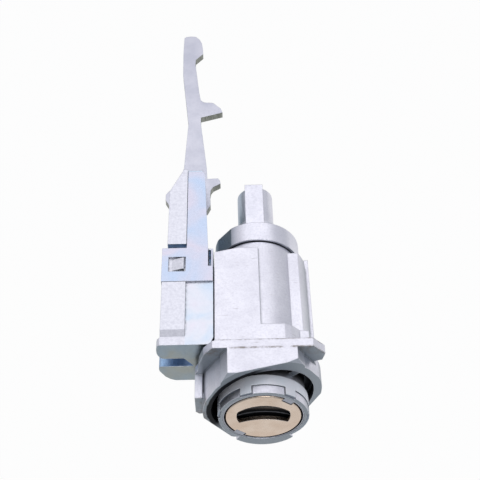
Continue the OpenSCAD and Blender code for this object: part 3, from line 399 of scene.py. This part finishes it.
def stamped_lever_steel():
    """Stamped plate with clear zinc. It gives pale lavender faces with faint rolling grain, and cut edges that stay
    dark and olive, striped by the punch. The punch stripes are drawn 0.4 mm apart so that they show."""
    material, tree, output = new_material("stamped_lever_steel")
    place, _, facing = position_and_normal(tree)
    cloud = add(tree, "TexNoise", {"Scale": 1 / 8, "Detail": 3}, {"Vector": place}).outputs["Fac"]
    fine = add(tree, "TexNoise", {"Scale": 1 / 0.5, "Detail": 3}, {"Vector": place}).outputs["Fac"]
    tall = add(tree, "Mapping", {"Scale": (1, 1, 0.15)}, {"Vector": place}).outputs["Vector"]
    shear = add(tree, "TexNoise", {"Scale": 1 / 0.4, "Detail": 2}, {"Vector": tall}).outputs["Fac"]
    lean = add(tree, "Math", {"operation": "ABSOLUTE"}, {0: facing["Z"]}).outputs["Value"]
    cut = add(tree, "MapRange", {"From Min": 0.6, "From Max": 0.2}, {"Value": lean}).outputs["Result"]
    drift = add(tree, "MapRange", {"From Min": 0.35, "From Max": 0.65}, {"Value": cloud}).outputs["Result"]
    face = add(tree, "Mix", {"data_type": "RGBA", "A": linear("#d2d2dc"), "B": linear("#c2c3cf")},
               {"Factor": drift}).outputs["Result"]
    stripes = add(tree, "MapRange", {"From Min": 0.35, "From Max": 0.65}, {"Value": shear}).outputs["Result"]
    edge = add(tree, "Mix", {"data_type": "RGBA", "A": linear("#7d7f77"), "B": linear("#9b9d95")},
               {"Factor": stripes}).outputs["Result"]
    colour = add(tree, "Mix", {"data_type": "RGBA"}, {"Factor": cut, "A": face, "B": edge}).outputs["Result"]
    gloss = add(tree, "MapRange", {"From Min": 0.3, "From Max": 0.7, "To Min": 0.32, "To Max": 0.46},
                {"Value": fine}).outputs["Result"]
    close_metal(tree, output, colour, gloss, [(fine, 0.3, 0.03), (shear, 0.15, 0.04)], 0.2)
    return material


def drawn_steel():
    """Drawn wire and ground pins. It gives plain steel grey with fine drawing lines and a slight drift of gloss.
    The lines are drawn 0.2 mm apart so that they show."""
    material, tree, output = new_material("drawn_steel")
    place, _, _ = position_and_normal(tree)
    fine = add(tree, "TexNoise", {"Scale": 1 / 0.2, "Detail": 2}, {"Vector": place}).outputs["Fac"]
    tone = add(tree, "MapRange", {"From Min": 0.35, "From Max": 0.65}, {"Value": fine}).outputs["Result"]
    colour = add(tree, "Mix", {"data_type": "RGBA", "A": linear("#a2a4aa"), "B": linear("#adb0b5")},
                 {"Factor": tone}).outputs["Result"]
    gloss = add(tree, "MapRange", {"From Min": 0.3, "From Max": 0.7, "To Min": 0.25, "To Max": 0.4},
                {"Value": fine}).outputs["Result"]
    close_metal(tree, output, colour, gloss, [(fine, 0.1, 0.01)], 0.05)
    return material


def stamped_brass():
    """Stamped brass wafers. It gives warm yellow metal, a little browner where it drifts, with fine tumbling
    grain drawn 0.4 mm wide."""
    material, tree, output = new_material("stamped_brass")
    place, _, _ = position_and_normal(tree)
    fine = add(tree, "TexNoise", {"Scale": 1 / 0.4, "Detail": 3}, {"Vector": place}).outputs["Fac"]
    tone = add(tree, "MapRange", {"From Min": 0.35, "From Max": 0.65}, {"Value": fine}).outputs["Result"]
    colour = add(tree, "Mix", {"data_type": "RGBA", "A": linear("#c9a758"), "B": linear("#d4b46a")},
                 {"Factor": tone}).outputs["Result"]
    gloss = add(tree, "MapRange", {"From Min": 0.3, "From Max": 0.7, "To Min": 0.25, "To Max": 0.45},
                {"Value": fine}).outputs["Result"]
    close_metal(tree, output, colour, gloss, [(fine, 0.2, 0.02)], 0.08)
    return material


def finish_nodes(material, *names):
    """Puts one finish in every material slot of the named CAD nodes."""
    for name in names:
        for slot in nodes[name].material_slots:
            slot.material = material


def every(prefix):
    """Names of the CAD nodes that start with a prefix."""
    return [name for name in nodes if name.startswith(prefix)]


def pressed_spring(number):
    """One wafer's spring as a closed piece of its own, welded and smoothed, that rides with the plug."""
    name = f"wafer_spring_{number}"
    bpy.ops.object.select_all(action="DESELECT")
    piece = bpy.data.objects.new(f"pressed_spring_{number}", nodes[name].data.copy())
    bpy.context.collection.objects.link(piece)
    piece.select_set(True)
    bpy.context.view_layer.objects.active = piece
    bpy.ops.object.mode_set(mode="EDIT")
    bpy.ops.mesh.select_all(action="SELECT")
    bpy.ops.mesh.remove_doubles(threshold=WELD_GAP)
    bpy.ops.mesh.normals_make_consistent(inside=False)
    bpy.ops.object.mode_set(mode="OBJECT")
    bpy.ops.object.shade_smooth_by_angle(angle=math.radians(40))
    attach(piece, "plug")
    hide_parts(name)
    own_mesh(piece)


def make_camera():
    data = bpy.data.cameras.new("camera")
    data.lens = LENS_MM
    data.sensor_width = 36
    data.clip_start, data.clip_end = 0.01, 20
    camera = bpy.data.objects.new("camera", data)
    bpy.context.collection.objects.link(camera)
    turn = Matrix((CAMERA_RIGHT, CAMERA_UP, -CAMERA_AHEAD)).transposed()
    camera.matrix_world = Matrix.Translation(CAMERA_PLACE) @ turn.to_4x4()
    bpy.context.scene.camera = camera


def floor_finish():
    """Matt white paper sweep. It gives plain white to the camera, and shows the metal a white floor that turns grey
    towards the open front of a light tent, past the picture's lower edge. It still takes the object's shadow."""
    material, tree, output = new_material("white_paper_sweep")
    _, spot, _ = position_and_normal(tree)
    path = add(tree, "LightPath").outputs
    ahead = add(tree, "MapRange", {"From Min": -60, "From Max": -200}, {"Value": spot["Y"]}).outputs["Result"]
    tone = add(tree, "Mix", {"data_type": "RGBA", "A": linear("#f2f3f5"), "B": linear("#a3adb4")},
               {"Factor": ahead}).outputs["Result"]
    plain = add(tree, "Math", {"operation": "ADD", "use_clamp": True},
                {0: path["Is Camera Ray"], 1: path["Is Transmission Ray"]}).outputs["Value"]
    glow = add(tree, "Mix", {"data_type": "RGBA", "B": (1, 1, 1, 1)}, {"Factor": plain, "A": tone}).outputs["Result"]
    shown = add(tree, "Math", {"operation": "ADD", "use_clamp": True},
                {0: plain, 1: path["Is Glossy Ray"]}).outputs["Value"]
    share = add(tree, "Math", {"operation": "MULTIPLY", 1: 0.96}, {0: shown}).outputs["Value"]
    matt = add(tree, "BsdfDiffuse", {}, {"Color": tone}).outputs["BSDF"]
    white = add(tree, "Emission", {"Strength": 1.0}, {"Color": glow}).outputs["Emission"]
    mixed = add(tree, "MixShader", {}, {"Fac": share, 1: matt, 2: white}).outputs["Shader"]
    tree.links.new(mixed, output.inputs["Surface"])
    return material


def make_floor():
    bpy.ops.object.select_all(action="DESELECT")
    bpy.ops.mesh.primitive_plane_add(size=2 * FLOOR_REACH, location=(0, 0, cad_low.z - FLOOR_DROP))
    floor = bpy.context.active_object
    floor.name = "floor"
    floor.data.materials.append(floor_finish())


def make_world():
    """Light tent. The camera sees it white, and the metal sees it white at the top and rear and grey at its open
    front and low sides."""
    world = bpy.data.worlds.new("light_tent")
    bpy.context.scene.world = world
    world.use_nodes = True
    tree = world.node_tree
    tree.nodes.clear()
    path = add(tree, "LightPath").outputs
    way = add(tree, "TexCoord").outputs["Generated"]
    rear = add(tree, "VectorMath", {"operation": "DOT_PRODUCT", 1: TENT_TOP}, {0: way}).outputs["Value"]
    rise = add(tree, "MapRange", {"From Min": -0.1, "From Max": 0.95}, {"Value": rear}).outputs["Result"]
    cloth = add(tree, "Mix", {"data_type": "RGBA", "A": linear("#8f969d"), "B": linear("#e2e3e9")},
                {"Factor": rise}).outputs["Result"]
    room = add(tree, "Background", {"Color": linear("#dfe3ea"), "Strength": 0.5}).outputs["Background"]
    tent = add(tree, "Background", {"Strength": 1.0}, {"Color": cloth}).outputs["Background"]
    white = add(tree, "Background", {"Color": (1, 1, 1, 1), "Strength": 1.0}).outputs["Background"]
    mirrored = add(tree, "MixShader", {}, {"Fac": path["Is Glossy Ray"], 1: room, 2: tent}).outputs["Shader"]
    plain = add(tree, "Math", {"operation": "ADD", "use_clamp": True},
                {0: path["Is Camera Ray"], 1: path["Is Transmission Ray"]}).outputs["Value"]
    mixed = add(tree, "MixShader", {}, {"Fac": plain, 1: mirrored, 2: white}).outputs["Shader"]
    add(tree, "OutputWorld", {}, {"Surface": mixed})


def softbox(name, place, target, width, depth, watts):
    data = bpy.data.lights.new(name, "AREA")
    data.shape = "RECTANGLE"
    data.size, data.size_y = width, depth
    data.energy = watts
    lamp = bpy.data.objects.new(name, data)
    bpy.context.collection.objects.link(lamp)
    lamp.location = place
    lamp.rotation_mode = "QUATERNION"
    lamp.rotation_quaternion = (Vector(target) - Vector(place)).to_track_quat("-Z", "Y")


def make_lights():
    middle = (0, 0.04, 0)
    softbox("top_softbox", (0.0, 0.45, 0.65), middle, 0.9, 0.7, 0.98)
    softbox("left_softbox", (-0.75, 0.2, 0.40), middle, 0.4, 0.5, 0.15)
    softbox("front_softbox", (0.10, -0.50, 0.50), middle, 0.4, 0.4, 1.2)
    softbox("right_softbox", (0.65, 0.55, 0.35), middle, 0.5, 0.6, 0.07)


make_camera()
make_world()
make_floor()
make_lights()

finish_nodes(die_cast_zinc(), "lock_body")
finish_nodes(turned_zinc(), "tail_cam")
finish_nodes(staked_zinc(), "plug")
finish_nodes(blue_zinc_plating(), "nose_ring")
finish_nodes(polished_stainless(), "face_plate")
finish_nodes(blackened_steel(), "shutter")
finish_nodes(plated_casting(), "guide_block")
finish_nodes(plated_sheet(), "cover_clip")
finish_nodes(stamped_lever_steel(), "lever")
finish_nodes(drawn_steel(), "shutter_pin", "shutter_spring", "retainer_spring", "cam_pin", "guide_pin_front",
             "guide_pin_rear", "lever_pivot", "lever_spring", *every("wafer_spring"))
for number in range(1, len(every("wafer_spring")) + 1):
    pressed_spring(number)
finish_nodes(stamped_brass(), "retainer_wafer", *[n for n in every("wafer_") if not n.startswith("wafer_spring")])

bpy.context.scene.view_settings.view_transform = "Standard"
